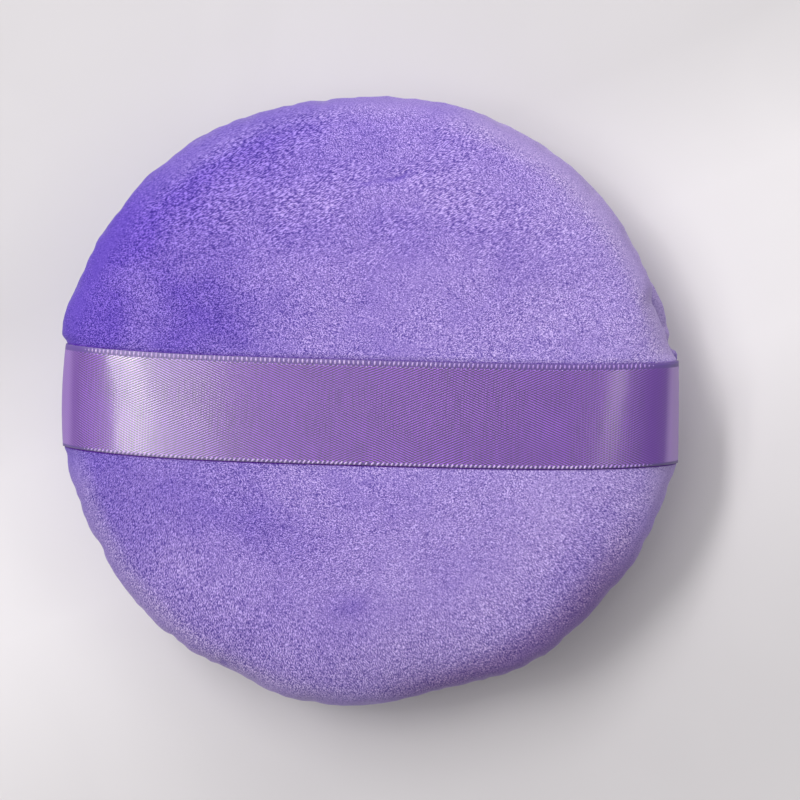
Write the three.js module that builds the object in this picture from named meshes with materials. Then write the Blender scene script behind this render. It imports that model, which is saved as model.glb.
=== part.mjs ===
// A round velour powder puff with a satin ribbon strap across its crown.
// Sizes are in millimetres and angles in degrees. X runs along the strap, Z points up out of the crown.
import * as THREE from "three";

// Covers: two velour discs, sewn face to face and turned.
const rimDiameter = 109.6; // across the velour, without the strap
const crownHeight = 16.5; // from the seam up to the top of the crown
const baseDepth = 14.5; // from the seam down to the table
const restFlatDepth = 0.5; // how much of the lower crown the table flattens
const coverThickness = 2; // pile and knitted back together
const grooveDepth = 2.2; // how far the seam is drawn in behind the rim
const foldHeight = 2.9; // rolled edge of each cover beside the seam
const foldInset = 0.6; // inner corner of the fold, in from the wall
const allowanceWidth = 6; // from the seam in to the raw edge
const allowanceThickness = 1.3; // the same cloth, pressed in the seam
const topBend = { out: 2.6, up: 2.2 }; // exponents of the crown's curve
const bottomBend = { out: 3, up: 2.2 };

// Filling: the foam takes what the covers and the waddings leave.
const topWaddingThickness = 4.9; // over the middle of the foam
const bottomWaddingThickness = 3.4; // under it
const foamBend = { out: 6, up: 2.2 };

// Strap
const ribbonWidth = 18;
const ribbonThickness = 0.3;
const selvedgeWidth = 1.1;
const selvedgeThickness = 0.45;
const selvedgeSlope = 0.3; // from the selvedge's full thickness to the ribbon's

// Threads
const threadDiameter = 0.4;
const stitchBite = 3; // how far the overlock reaches in from the raw edge
const stitchTurn = 0.6; // length of the overlock's turn at the end of its reach
const overlockWraps = 36;
const overlockMargin = 2; // angle between the overlock's ends and the turning gap
const closingStitches = 16;
const closingFrom = 242; // the turning gap, as angles round the rim
const closingTo = 292;
const overlockSides = 4;
const closingSides = 6;
const closingTurnShare = 0.45; // how far round the fold the closing stitches land
const closingSinkShare = 0.3; // how deep in the groove they cross

const clearance = 0.3; // between neighbouring pieces
const columns = 72; // divisions round the rim
const crownSteps = 7; // rings from pole to rim on the outside
const wallSteps = 4; // and on the inside
const foldSteps = 3;
const foamSteps = 5;
const ribbonCrownSteps = 12; // stations of the strap on each half of the crown
const ribbonFoldSteps = 5;
const ribbonTailSteps = 2;

const velour = new THREE.MeshStandardMaterial({ color: "#9580cd", roughness: 0.95, metalness: 0 });
const satin = new THREE.MeshStandardMaterial({ color: "#8e69b4", roughness: 0.35, metalness: 0 });
const sponge = new THREE.MeshStandardMaterial({ color: "#f1ead6", roughness: 0.9, metalness: 0 });
const wadding = new THREE.MeshStandardMaterial({ color: "#f6f5f2", roughness: 1, metalness: 0 });
const thread = new THREE.MeshStandardMaterial({ color: "#8f79c4", roughness: 0.6, metalness: 0 });

// Swells and puckers of the rim: each is a bell centred at an angle, as a share of the rim's radius.
const rimSwellShares = [
  { at: 0, spread: 7, share: -0.01 },
  { at: 14, spread: 6, share: -0.014 },
  { at: 26, spread: 8, share: -0.011 },
  { at: 37, spread: 7, share: 0.006 },
  { at: 53, spread: 6, share: 0.009 },
  { at: 69, spread: 9, share: 0.009 },
  { at: 90, spread: 11, share: -0.006 },
  { at: 128, spread: 16, share: 0.026 },
  { at: 152, spread: 14, share: 0.03 },
  { at: 167, spread: 4, share: 0.028 },
  { at: 182, spread: 9, share: -0.02 },
  { at: 195, spread: 7, share: 0.008 },
  { at: 225, spread: 9, share: 0.006 },
  { at: 246, spread: 5, share: -0.024 },
  { at: 264, spread: 7, share: -0.003 },
  { at: 285, spread: 12, share: -0.033 },
  { at: 306, spread: 4, share: 0.006 },
  { at: 320, spread: 8, share: -0.008 },
  { at: 332, spread: 5, share: 0.008 },
  { at: 349, spread: 5, share: 0.012 },
];
// The lower cover stands out past the upper one beside the strap's right end.
const lowerSwellShares = [{ at: 14, spread: 7, share: 0.024 }];
// The seam climbs and dips a little as it goes round, as a share of the base's depth.
const seamWanderShares = [
  { at: 14, spread: 16, share: 0.13 },
  { at: 110, spread: 24, share: -0.05 },
  { at: 168, spread: 14, share: 0.06 },
  { at: 246, spread: 10, share: 0.06 },
  { at: 284, spread: 14, share: -0.08 },
];
const gatherFade = 6; // how fast swells fade in from the raw edge
const entryReachShare = 0.55; // how far up the crown the strap's entry is felt
const entrySpreadShare = 1.25; // half width of the open seam, per half width of the strap
const entryFadeShare = 2.2; // where the seam is closed again

const rimRadius = rimDiameter / 2;
const seamRadius = rimRadius - grooveDepth;
const rawEdgeRadius = seamRadius - allowanceWidth;
const seamHalfGap = clearance / 2;
const foldTop = seamHalfGap + foldHeight;
const allowanceTop = seamHalfGap + allowanceThickness;
const threadRadius = threadDiameter / 2;
const threadStand = clearance + threadRadius; // a thread's middle above what it lies on
const entryHalfGap = clearance + selvedgeThickness / 2;

const radians = THREE.MathUtils.degToRad;
const quarter = Math.PI / 2;

// Sum of the bells in a table at an angle in radians.
function bells(table, angle) {
  const degrees = THREE.MathUtils.radToDeg(angle);
  return table.reduce((sum, { at, spread, share }) => {
    const away = THREE.MathUtils.euclideanModulo(degrees - at + 180, 360) - 180;
    return sum + share * Math.exp(-((away / spread) ** 2));
  }, 0);
}

// How far the seam opens at an angle to take the strap: 1 under the strap, 0 clear of it.
function entryShare(angle) {
  const side = rawEdgeRadius * Math.abs(Math.sin(angle));
  const half = ribbonWidth / 2;
  return 1 - THREE.MathUtils.smoothstep(side, half * entrySpreadShare, half * entryFadeShare);
}

// Moves a point of the plain round puff to where the gathered seam leaves it.
function gather(point, swellShares = []) {
  const r = Math.hypot(point.x, point.y);
  if (r === 0) return point;
  const angle = Math.atan2(point.y, point.x);
  const fade = Math.min(1, r / rawEdgeRadius) ** gatherFade;
  const swell = 1 + fade * (bells(rimSwellShares, angle) + bells(swellShares, angle));
  const reach = point.z > 0 ? crownHeight : baseDepth;
  const wander = baseDepth * bells(seamWanderShares, angle) * (1 - (point.z / reach) ** 2);
  const near = Math.max(0, 1 - Math.abs(point.z) / (reach * entryReachShare));
  const opening = Math.sign(point.z) * (entryHalfGap - seamHalfGap) * entryShare(angle) * near;
  point.x *= swell;
  point.y *= swell;
  point.z += fade * (wander + opening);
  return point;
}

// Quarter of a superellipse: turn 0 is the pole, a quarter turn is the widest ring.
function crownPoint(turn, radius, rise, bend) {
  return new THREE.Vector2(radius * Math.sin(turn) ** (2 / bend.out), rise * Math.cos(turn) ** (2 / bend.up));
}

// Rings of a crown that stands on the height foot and is cut flat at the height top, from the pole outwards.
function crownRings({ radius, foot, height, top = height, bend, steps }) {
  const rise = height - foot;
  const start = Math.acos(((top - foot) / rise) ** (bend.up / 2));
  const rings = [new THREE.Vector2(0, top)];
  for (let i = start > 0 ? 0 : 1; i <= steps; i++) {
    const ring = crownPoint(start + ((quarter - start) * i) / steps, radius, rise, bend);
    rings.push(new THREE.Vector2(ring.x, foot + ring.y));
  }
  return rings;
}

// Rolled edge of a cover, from the rim in to the seam: turn 0 is the rim, a quarter turn is the seam.
function foldPoint(turn) {
  return new THREE.Vector2(seamRadius + grooveDepth * Math.cos(turn), foldTop - foldHeight * Math.sin(turn));
}

// Closed solid of revolution round Z, then gathered. flip turns an upper form over.
function revolve(profile, { flip = false, swellShares = [] } = {}) {
  const points = profile.map((p) => new THREE.Vector2(p.x, flip ? -p.y : p.y));
  if (!flip) points.reverse();
  const geometry = new THREE.LatheGeometry(points, columns);
  geometry.rotateX(quarter);
  const position = geometry.attributes.position;
  const point = new THREE.Vector3();
  for (let i = 0; i < position.count; i++) {
    gather(point.fromBufferAttribute(position, i), swellShares);
    position.setXYZ(i, point.x, point.y, point.z);
  }
  return geometry;
}

// Shell of one cover: outer crown, rolled edge, seam allowance, and the inner crown back to the pole.
function coverProfile({ height, top, bend }) {
  const outer = crownRings({ radius: rimRadius, foot: foldTop, height, top, bend, steps: crownSteps });
  const fold = Array.from({ length: foldSteps }, (_, i) => foldPoint((quarter * (i + 1)) / foldSteps));
  const inner = crownRings({
    radius: rimRadius - coverThickness,
    foot: foldTop,
    height: height - coverThickness,
    bend,
    steps: wallSteps,
  });
  return [
    ...outer,
    ...fold,
    new THREE.Vector2(rawEdgeRadius, seamHalfGap),
    new THREE.Vector2(rawEdgeRadius, allowanceTop),
    new THREE.Vector2(rimRadius - coverThickness - foldInset, allowanceTop),
    ...inner.reverse(),
  ];
}

const topShape = {
  height: crownHeight,
  top: crownHeight,
  bend: topBend,
  waddingThickness: topWaddingThickness,
};
const bottomShape = {
  height: baseDepth + restFlatDepth,
  top: baseDepth,
  bend: bottomBend,
  waddingThickness: bottomWaddingThickness,
};

function topCover() {
  return revolve(coverProfile(topShape));
}

function bottomCover() {
  return revolve(coverProfile(bottomShape), { flip: true, swellShares: lowerSwellShares });
}

const foamRadius = rawEdgeRadius - threadDiameter - 2 * clearance;

// How far the foam reaches from the seam into one cover.
function foamReach({ height, waddingThickness }) {
  return height - coverThickness - 2 * clearance - waddingThickness;
}

// Rings of a foam disc's half, or of the hollow that it leaves, from the pole to the widest ring.
function foamRings(shape, room = 0) {
  const height = foamReach(shape) + room;
  return crownRings({ radius: foamRadius + room, foot: 0, height, bend: foamBend, steps: foamSteps });
}

// Round-edged sponge disc, from the top pole to the bottom pole.
function foamCore() {
  const lower = foamRings(bottomShape).map((p) => new THREE.Vector2(p.x, -p.y));
  lower.pop();
  return revolve([...foamRings(topShape), ...lower.reverse()]);
}

// Wadding fills a cover from the foam out to the wall, and lies on the stitched seam allowance.
function waddingProfile(shape) {
  const ledge = allowanceTop + 2 * threadStand;
  const inset = coverThickness + clearance;
  const outer = crownRings({
    radius: rimRadius - inset,
    foot: foldTop,
    height: shape.height - inset,
    bend: shape.bend,
    steps: wallSteps,
  });
  const rise = foamReach(shape) + clearance;
  const ledgeTurn = Math.acos((ledge / rise) ** (foamBend.up / 2));
  return [
    ...outer,
    new THREE.Vector2(rimRadius - inset - foldInset, ledge),
    crownPoint(ledgeTurn, foamRadius + clearance, rise, foamBend),
    ...foamRings(shape, clearance)
      .filter((p) => p.y > ledge)
      .reverse(),
  ];
}

function topWadding() {
  return revolve(waddingProfile(topShape));
}

function bottomWadding() {
  return revolve(waddingProfile(bottomShape), { flip: true, swellShares: lowerSwellShares });
}

// Closed tube through rings of points, with flat ends. Each ring has an even number of points.
function loft(rings) {
  const sides = rings[0].length;
  const positions = rings.flat().flatMap((p) => [p.x, p.y, p.z]);
  const faces = [];
  for (let i = 0; i + 1 < rings.length; i++) {
    for (let j = 0; j < sides; j++) {
      const a = i * sides + j;
      const b = i * sides + ((j + 1) % sides);
      faces.push(a, b, a + sides, b, b + sides, a + sides);
    }
  }
  const last = (rings.length - 1) * sides;
  for (let j = 0; j + 1 < sides / 2; j++) {
    const [a, b, c, d] = [j, j + 1, sides - 2 - j, sides - 1 - j];
    faces.push(a, c, b, a, d, c);
    faces.push(last + a, last + b, last + c, last + a, last + c, last + d);
  }
  const geometry = new THREE.BufferGeometry();
  geometry.setAttribute("position", new THREE.Float32BufferAttribute(positions, 3));
  geometry.setIndex(faces);
  geometry.computeVertexNormals();
  return geometry;
}

// Round tube along a list of points, carried from ring to ring without twist.
function threadAlong(points, sides) {
  const normal = new THREE.Vector3(0, 0, 1);
  const rings = points.map((point, i) => {
    const ahead = points[Math.min(i + 1, points.length - 1)];
    const tangent = ahead.clone().sub(points[Math.max(i - 1, 0)]).normalize();
    normal.addScaledVector(tangent, -normal.dot(tangent)).normalize();
    const across = tangent.clone().cross(normal);
    return Array.from({ length: sides }, (_, k) => {
      const turn = (2 * Math.PI * (k + 0.5)) / sides;
      return point
        .clone()
        .addScaledVector(normal, threadRadius * Math.cos(turn))
        .addScaledVector(across, threadRadius * Math.sin(turn));
    });
  });
  return loft(rings);
}

// Point on the gathered surface of the upper cover, by its station along the strap and its place across it.
// Stations 0 to 1 climb down the crown, 1 to 2 go round the fold, 2 to 3 go in between the allowances.
function underStrap(station, across) {
  const along = Math.abs(station);
  const ring = new THREE.Vector2();
  if (along > 1) {
    ring.copy(foldPoint((Math.min(along, 2) - 1) * quarter));
    ring.x -= Math.max(0, along - 2) * (allowanceWidth - clearance);
  } else {
    ring.copy(crownPoint(along * quarter, rimRadius, crownHeight - foldTop, topBend));
    ring.y += foldTop;
  }
  const wide = Math.max(ring.x, ribbonWidth);
  const point = new THREE.Vector3(ring.x * Math.sqrt(1 - (across / wide) ** 2), across, ring.y);
  if (ring.x < wide) {
    const share = Math.hypot(point.x, across) / rimRadius;
    point.z = foldTop + (crownHeight - foldTop) * (1 - share ** topBend.out) ** (1 / topBend.up);
  }
  point.x *= Math.sign(station);
  return gather(point);
}

// Direction out of that surface.
function outwards(station, across) {
  const nudgeShare = 1e-3;
  const nudge = nudgeShare * ribbonWidth;
  const along = underStrap(station + nudgeShare, across).sub(underStrap(station - nudgeShare, across));
  const aside = underStrap(station, across + nudge).sub(underStrap(station, across - nudge));
  return along.cross(aside).normalize();
}

// Satin ribbon, thicker at its woven edges, from one raw end over the crown to the other.
function ribbonStrap() {
  const stations = [0];
  [ribbonCrownSteps, ribbonFoldSteps, ribbonTailSteps].forEach((count, stretch) => {
    for (let i = 1; i <= count; i++) stations.push(stretch + i / count);
  });
  const half = ribbonWidth / 2;
  const woven = half - selvedgeWidth;
  const plain = woven - selvedgeSlope;
  const section = [
    [-half, selvedgeThickness],
    [-woven, selvedgeThickness],
    [-plain, ribbonThickness],
    [0, ribbonThickness],
    [plain, ribbonThickness],
    [woven, selvedgeThickness],
    [half, selvedgeThickness],
  ];
  const both = [...stations.slice(1).map((s) => -s).reverse(), ...stations];
  const rings = both.map((station) => {
    const face = (stand) =>
      section.map(([across, thickness]) =>
        underStrap(station, across).addScaledVector(outwards(station, across), clearance + stand * thickness),
      );
    return [...face(0), ...face(1).reverse()];
  });
  return loft(rings);
}

// Least gap between runs of a thread that are not next to each other.
function leastGap(points, apart) {
  const gaps = points.flatMap((p, i) => points.slice(i + apart).map((q) => p.distanceTo(q)));
  return gaps.reduce((a, b) => Math.min(a, b)) - threadDiameter;
}

// Overlock: zigzags over both faces of the two allowances and wraps their raw edges.
function overlockThread() {
  const near = threadStand * Math.tan(quarter / 4);
  const tip = rawEdgeRadius + stitchBite;
  const turnAngle = stitchTurn / tip / 2;
  // Half a wrap, as the share of it done, the radius, the height and a lead in angle.
  const half = [
    [0, rawEdgeRadius - threadStand, allowanceTop + near, 0],
    [0, rawEdgeRadius - near, allowanceTop + threadStand, 0],
    [0.5, tip, allowanceTop + threadStand, -turnAngle],
    [0.5, tip, allowanceTop + threadStand, turnAngle],
    [1, rawEdgeRadius - near, allowanceTop + threadStand, 0],
    [1, rawEdgeRadius - threadStand, allowanceTop + near, 0],
  ];
  const from = radians(closingTo - 360 + overlockMargin);
  const pitch = (radians(closingFrom - overlockMargin) - from) / overlockWraps;
  const points = [];
  for (let halfWrap = 0; halfWrap < 2 * overlockWraps; halfWrap++) {
    const side = halfWrap % 2 ? -1 : 1;
    half.forEach(([share, r, z, lead]) => {
      const angle = from + (pitch * (halfWrap + share)) / 2 + lead;
      points.push(gather(new THREE.Vector3(r * Math.cos(angle), r * Math.sin(angle), side * z)));
    });
  }
  console.log("overlock: least gap between runs", leastGap(points, half.length).toFixed(2), "mm");
  return threadAlong(points, overlockSides);
}

// Hand stitches that cross the groove from fold to fold, along the gap where the puff was turned.
function closingThread() {
  const turn = quarter * closingTurnShare;
  const onFold = foldPoint(turn);
  const normal = new THREE.Vector2(foldHeight * Math.cos(turn), -grooveDepth * Math.sin(turn)).normalize();
  onFold.addScaledVector(normal, threadStand);
  const inGroove = rimRadius - grooveDepth * closingSinkShare;
  const points = [];
  const sides = [0, 1, 0, -1];
  const steps = closingStitches * sides.length;
  for (let i = 0; i <= steps; i++) {
    const angle = radians(closingFrom + ((closingTo - closingFrom) * i) / steps);
    const side = sides[i % sides.length];
    const r = side === 0 ? inGroove : onFold.x;
    points.push(gather(new THREE.Vector3(r * Math.cos(angle), r * Math.sin(angle), side * onFold.y)));
  }
  return threadAlong(points, closingSides);
}

function piece(name, geometry, material) {
  const mesh = new THREE.Mesh(geometry, material.clone());
  mesh.name = name;
  return mesh;
}

const pad = new THREE.Group();
pad.add(
  piece("top_cover", topCover(), velour),
  piece("bottom_cover", bottomCover(), velour),
  piece("foam_core", foamCore(), sponge),
  piece("top_wadding", topWadding(), wadding),
  piece("bottom_wadding", bottomWadding(), wadding),
  piece("overlock_thread", overlockThread(), thread),
  piece("closing_thread", closingThread(), thread),
);
const strap = new THREE.Group();
strap.add(piece("ribbon_strap", ribbonStrap(), satin));

// The part stands on the table, with the middle of its outline over the origin.
const puff = new THREE.Group();
puff.add(pad, strap);
const middle = new THREE.Box3().setFromObject(puff, true).getCenter(new THREE.Vector3());
puff.position.set(-middle.x, -middle.y, baseDepth);

const part = new THREE.Group();
part.add(puff);
export default part;
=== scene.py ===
# Velour powder puff with a satin ribbon strap, laid on a pale table.
import math
import random
import bpy
import numpy as np
from mathutils import Matrix, Vector, noise
from mathutils.bvhtree import BVHTree


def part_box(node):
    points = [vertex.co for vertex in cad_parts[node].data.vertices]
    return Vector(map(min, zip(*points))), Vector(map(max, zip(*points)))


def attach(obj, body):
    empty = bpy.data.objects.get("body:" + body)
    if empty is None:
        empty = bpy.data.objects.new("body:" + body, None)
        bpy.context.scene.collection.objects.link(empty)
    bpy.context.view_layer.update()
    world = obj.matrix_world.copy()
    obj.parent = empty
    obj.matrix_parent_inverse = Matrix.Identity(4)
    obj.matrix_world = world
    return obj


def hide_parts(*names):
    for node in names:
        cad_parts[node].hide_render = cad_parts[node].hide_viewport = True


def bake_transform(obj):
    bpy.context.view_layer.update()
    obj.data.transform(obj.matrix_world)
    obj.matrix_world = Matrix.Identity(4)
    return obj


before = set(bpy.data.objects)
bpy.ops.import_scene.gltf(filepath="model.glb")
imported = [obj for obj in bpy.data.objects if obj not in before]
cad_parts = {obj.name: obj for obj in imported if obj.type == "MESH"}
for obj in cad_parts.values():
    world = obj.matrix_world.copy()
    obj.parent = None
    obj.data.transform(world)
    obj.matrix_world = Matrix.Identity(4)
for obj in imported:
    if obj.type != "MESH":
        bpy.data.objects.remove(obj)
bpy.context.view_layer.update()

mm = 0.001  # sizes in the dictionaries are in mm and angles in degrees, if nothing else is said


# selection, modifiers and meshes

def pick(obj):
    bpy.ops.object.select_all(action="DESELECT")
    obj.select_set(True)
    bpy.context.view_layer.objects.active = obj
    return obj


def applyModifier(obj, kind, **settings):
    pick(obj)
    modifier = obj.modifiers.new(kind.title(), kind)
    for key, value in settings.items():
        setattr(modifier, key, value)
    bpy.ops.object.modifier_apply(modifier=modifier.name)


def readVectors(elements, name):
    out = np.empty(len(elements) * 3, np.float32)
    elements.foreach_get(name, out)
    return out.reshape(-1, 3).astype(float)


def subdivide(obj, levels):
    applyModifier(obj, "SUBSURF", levels=levels, render_levels=levels)


def places(obj):
    return readVectors(obj.data.vertices, "co")


def setPlaces(obj, co):
    obj.data.vertices.foreach_set("co", co.astype(np.float32).ravel())
    obj.data.update()


def normalsOf(obj):
    return readVectors(obj.data.vertex_normals, "vector")


def polarOf(co):
    # distance from the puff's middle and angle about it, seen from above
    return np.hypot(co[:, 0], co[:, 1]), np.arctan2(co[:, 1], co[:, 0])


def smoothShade(obj):
    pick(obj)
    bpy.ops.object.shade_smooth()


def link(name, data):
    obj = bpy.data.objects.new(name, data)
    bpy.context.scene.collection.objects.link(obj)
    return obj


def stand(obj, at, side, up, back):
    # at a place, looking away from its back
    obj.matrix_world = Matrix.Translation(at) @ Matrix((side, up, back)).transposed().to_4x4()


def addMesh(name, vertices, faces):
    mesh = bpy.data.meshes.new(name)
    mesh.from_pydata([tuple(p) for p in vertices], [], [tuple(f) for f in faces])
    return link(name, mesh)


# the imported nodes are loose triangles: a copy is merged and turned back into quads
merging = {"gap": 0.004, "faceTurn": 60, "shapeTurn": 70}


def copyNode(nodeName, name):
    obj = link(name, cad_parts[nodeName].data.copy())
    obj.data.materials.clear()
    pick(obj)
    bpy.ops.object.mode_set(mode="EDIT")
    bpy.ops.mesh.select_all(action="SELECT")
    bpy.ops.mesh.remove_doubles(threshold=merging["gap"] * mm)
    bpy.ops.mesh.tris_convert_to_quads(face_threshold=math.radians(merging["faceTurn"]),
                                       shape_threshold=math.radians(merging["shapeTurn"]))
    bpy.ops.object.mode_set(mode="OBJECT")
    return obj


def smoothStep(x):
    x = np.clip(x, 0, 1)
    return x * x * (3 - 2 * x)


# the lumpiness of cloth and filling: fractal noise, moved on for each seed
lumps = {"fineness": 0.8, "lacunarity": 2.1, "octaves": 3, "offset": (7.3, 3.1, 5.7)}


def fractal(points, size, seed):
    shape = [lumps[key] for key in ("fineness", "lacunarity", "octaves")]
    offset = Vector([seed * step for step in lumps["offset"]])
    return np.array([noise.fractal(Vector(p) / (size * mm) + offset, *shape) for p in points])


# material nodes

def newMaterial(name):
    material = bpy.data.materials.new(name)
    material.use_nodes = True
    tree = material.node_tree
    return material, tree, tree.nodes["Principled BSDF"]


def setSocket(tree, socket, value):
    if isinstance(value, bpy.types.NodeSocket):
        tree.links.new(value, socket)
    elif isinstance(value, tuple) and socket.type == "RGBA":
        socket.default_value = (*value, 1)
    else:
        socket.default_value = value


def node(tree, kind, inputs=None, **settings):
    made = tree.nodes.new("ShaderNode" + kind)
    for key, value in settings.items():
        setattr(made, key, value)
    for key, value in (inputs or {}).items():
        setSocket(tree, made.inputs[key], value)
    return made


def ramp(tree, factor, stops):
    made = node(tree, "ValToRGB", {"Fac": factor})
    elements = made.color_ramp.elements
    while len(elements) < len(stops):
        elements.new(0.5)
    for element, (at, colour) in zip(elements, stops):
        element.position = at
        element.color = (*colour, 1)
    return made.outputs["Color"]


def mixColour(tree, factor, a, b, blend="MIX"):
    made = node(tree, "Mix", data_type="RGBA", blend_type=blend)
    for socket, value in zip((made.inputs[0], made.inputs[6], made.inputs[7]), (factor, a, b)):
        setSocket(tree, socket, value)
    return made.outputs[2]


def maths(tree, operation, *values):
    made = node(tree, "Math", operation=operation)
    for socket, value in zip(made.inputs, values):
        setSocket(tree, socket, value)
    return made.outputs[0]


def times(tree, a, b, plus=0.0):
    return maths(tree, "MULTIPLY_ADD", a, b, plus)


def larger(tree, a, b):
    return maths(tree, "MAXIMUM", a, b)


def aboutHalf(tree, value, gain):
    # more or less contrast about 0.5
    return times(tree, maths(tree, "SUBTRACT", value, 0.5), gain, 0.5)


def vectorMaths(tree, operation, *vectors):
    return node(tree, "VectorMath", dict(enumerate(vectors)), operation=operation).outputs["Value"]


def blend(tree, factor, a, b):
    return node(tree, "Mix", {"Factor": factor, "A": a, "B": b}).outputs[0]


def fromTo(tree, value, fromMin, fromMax, toMin=0.0, toMax=1.0):
    inputs = {"Value": value, "From Min": fromMin, "From Max": fromMax, "To Min": toMin, "To Max": toMax}
    return node(tree, "MapRange", inputs, interpolation_type="SMOOTHSTEP").outputs[0]


def between(tree, value, ends, toMin=0.0, toMax=1.0):
    # the same with its ends in mm
    return fromTo(tree, value, ends[0] * mm, ends[1] * mm, toMin, toMax)


def objectPlace(tree):
    return node(tree, "TexCoord").outputs["Object"]


def axesOf(tree, vector):
    return node(tree, "SeparateXYZ", {"Vector": vector}).outputs[:]


def joinAxes(tree, *axes):
    return node(tree, "CombineXYZ", dict(zip("XYZ", axes))).outputs[0]


def attribute(tree, name):
    return node(tree, "Attribute", attribute_name=name).outputs["Fac"]


def scaled(tree, vector, scale):
    return node(tree, "Mapping", {"Vector": vector, "Scale": scale}).outputs[0]


def cells(tree, vector, size, turn=0.0, at=(0, 0, 0)):
    # places in a pattern whose cells have these sizes in mm, turned about Z and set at a place
    inputs = {"Vector": vector, "Scale": tuple(s * mm for s in size),
              "Rotation": (0, 0, math.radians(turn)), "Location": tuple(a * mm for a in at)}
    return node(tree, "Mapping", inputs, vector_type="TEXTURE").outputs[0]


def noiseOf(tree, vector, **inputs):
    return node(tree, "TexNoise", {"Vector": vector, "Scale": 1.0, **inputs}).outputs[0]


def tufts(tree, place, size, turn=0.0, detail=0.0, distortion=0.6):
    return noiseOf(tree, cells(tree, place, size, turn), Detail=detail, Distortion=distortion)


def bumpOf(tree, look, height, normal=None):
    # look: strength and distance in mm
    made = node(tree, "Bump", {"Strength": look[0], "Distance": look[1] * mm, "Height": height})
    if normal is not None:
        tree.links.new(normal, made.inputs["Normal"])
    return made.outputs[0]


def setShader(tree, shader, inputs):
    for key, value in inputs.items():
        setSocket(tree, shader.inputs[key], value)


# camera, above the puff and a little to its far side
view = {
    "height": 0.425,  # in m, as is the rim's
    "tilt": 3.0,
    "roll": 1.6,
    "pixel": 1 / 5.61,  # mm at the rim's height
    "puffAt": (370, 404.0),
    "imageMiddle": (400, 400),
    "rimHeight": 0.015,
    "sensor": 36,
    "pixels": 800,
}


def buildCamera():
    data = bpy.data.cameras.new("camera")
    camera = link("camera", data)
    aimX = (view["imageMiddle"][0] - view["puffAt"][0]) * view["pixel"] * mm
    aimY = (view["puffAt"][1] - view["imageMiddle"][1]) * view["pixel"] * mm
    aim = Vector((aimX, aimY, view["rimHeight"]))
    tilt, roll = math.radians(view["tilt"]), math.radians(view["roll"])
    reach = view["height"] - view["rimHeight"]
    back = Vector((0, math.sin(tilt), math.cos(tilt)))
    side = Vector((math.cos(roll), math.sin(roll), 0))
    side = (side - back * side.dot(back)).normalized()
    up = back.cross(side)
    stand(camera, aim + back * reach, side, up, back)
    data.sensor_width = view["sensor"]
    data.lens = view["sensor"] * reach / (view["pixels"] * view["pixel"] * mm)
    bpy.context.scene.camera = camera
    print("camera", round(data.lens, 1), "mm lens")


buildCamera()

# what the solids say about the rim, the seam and the ribbon's place
rim = {
    "radius": 55,
    "degrees": 5,  # between two readings
    "reading": 3.5,  # degrees to each side that a reading takes in
    "lipFrom": 49,
}


def rimOf(nodeName):
    co = places(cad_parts[nodeName])
    radius, turn = polarOf(co)
    heights, radii = [], []
    for angle in rimAngles:
        away = np.abs((turn - angle + math.pi) % (2 * math.pi) - math.pi) < math.radians(rim["reading"])
        lip = co[(radius > rim["lipFrom"] * mm) & away, 2]
        heights.append(lip.min() if nodeName == "top_cover" else lip.max())
        radii.append(radius[away].max())
    return np.array(heights), np.array(radii)


def roundRim(values, co):
    angle = polarOf(co)[1] % (2 * math.pi)
    return np.interp(angle, np.append(rimAngles, 2 * math.pi), np.append(values, values[0]))


rimAngles = np.radians(np.arange(0, 360, rim["degrees"]))
topLip, topRadii = rimOf("top_cover")
bottomLip, bottomRadii = rimOf("bottom_cover")
seamHeights = (topLip + bottomLip) / 2
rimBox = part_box("top_cover")
rimMiddle = (rimBox[0] + rimBox[1]) / 2
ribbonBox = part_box("ribbon_strap")
ribbonMiddle = (ribbonBox[0].y + ribbonBox[1].y) / 2
ribbonHalf = 9.0 * mm

# ribbon: one length of satin, cast down on to the cover from an axis inside it
ribbon = {
    "pivotIn": 12.0,
    "pivotAbove": 3.0,
    "across": 36,
    "stand": 0.12,
    "thickness": 0.28,
    "step": 0.5,
    "tailAngle": -14,
    "tail": 4.0,
    "crownAngle": 165,
    "rays": 700,
    "rayOn": 0.01,  # how far past one hit the next ray starts
    "tailRows": (1, 0.75, 0.5, 0.25),
    "smoothing": 8,
    "bow": (0.85, 0.85, 0.8),  # towards the near side in the middle, and back at the left and right ends
    "bowReach": 51,
    "bowMost": 1.08,
    "foldFrom": 46,
    # where it folds over the rim at the left and the right: near edge, middle, far edge
    "foldOut": {-1: (54.0, 54.3, 53.7), 1: (54.75, 54.5, 54.1)},
    "foldFade": 1.6,
}


def ribbonLine(x):
    # the middle of the ribbon bows a little towards the near side
    share = np.clip(np.abs(x) / (ribbon["bowReach"] * mm), 0, ribbon["bowMost"]) ** 4
    middle, left, right = ribbon["bow"]
    return ribbonMiddle + mm * (np.where(x < 0, left, right) * share - middle)


def castRow(tree, side, reach, pivotZ, angle, acrosses):
    way = Vector((side * math.cos(angle), 0, math.sin(angle)))
    row = []
    for y in acrosses:
        start, last = Vector((side * reach, y, pivotZ)), None
        while True:
            hit, normal, _, _ = tree.ray_cast(start, way)
            if hit is None:
                break
            last = (hit, normal)
            start = hit + way * ribbon["rayOn"] * mm
        row.append(last[0] + last[1] * ribbon["stand"] * mm)
    return row


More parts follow.
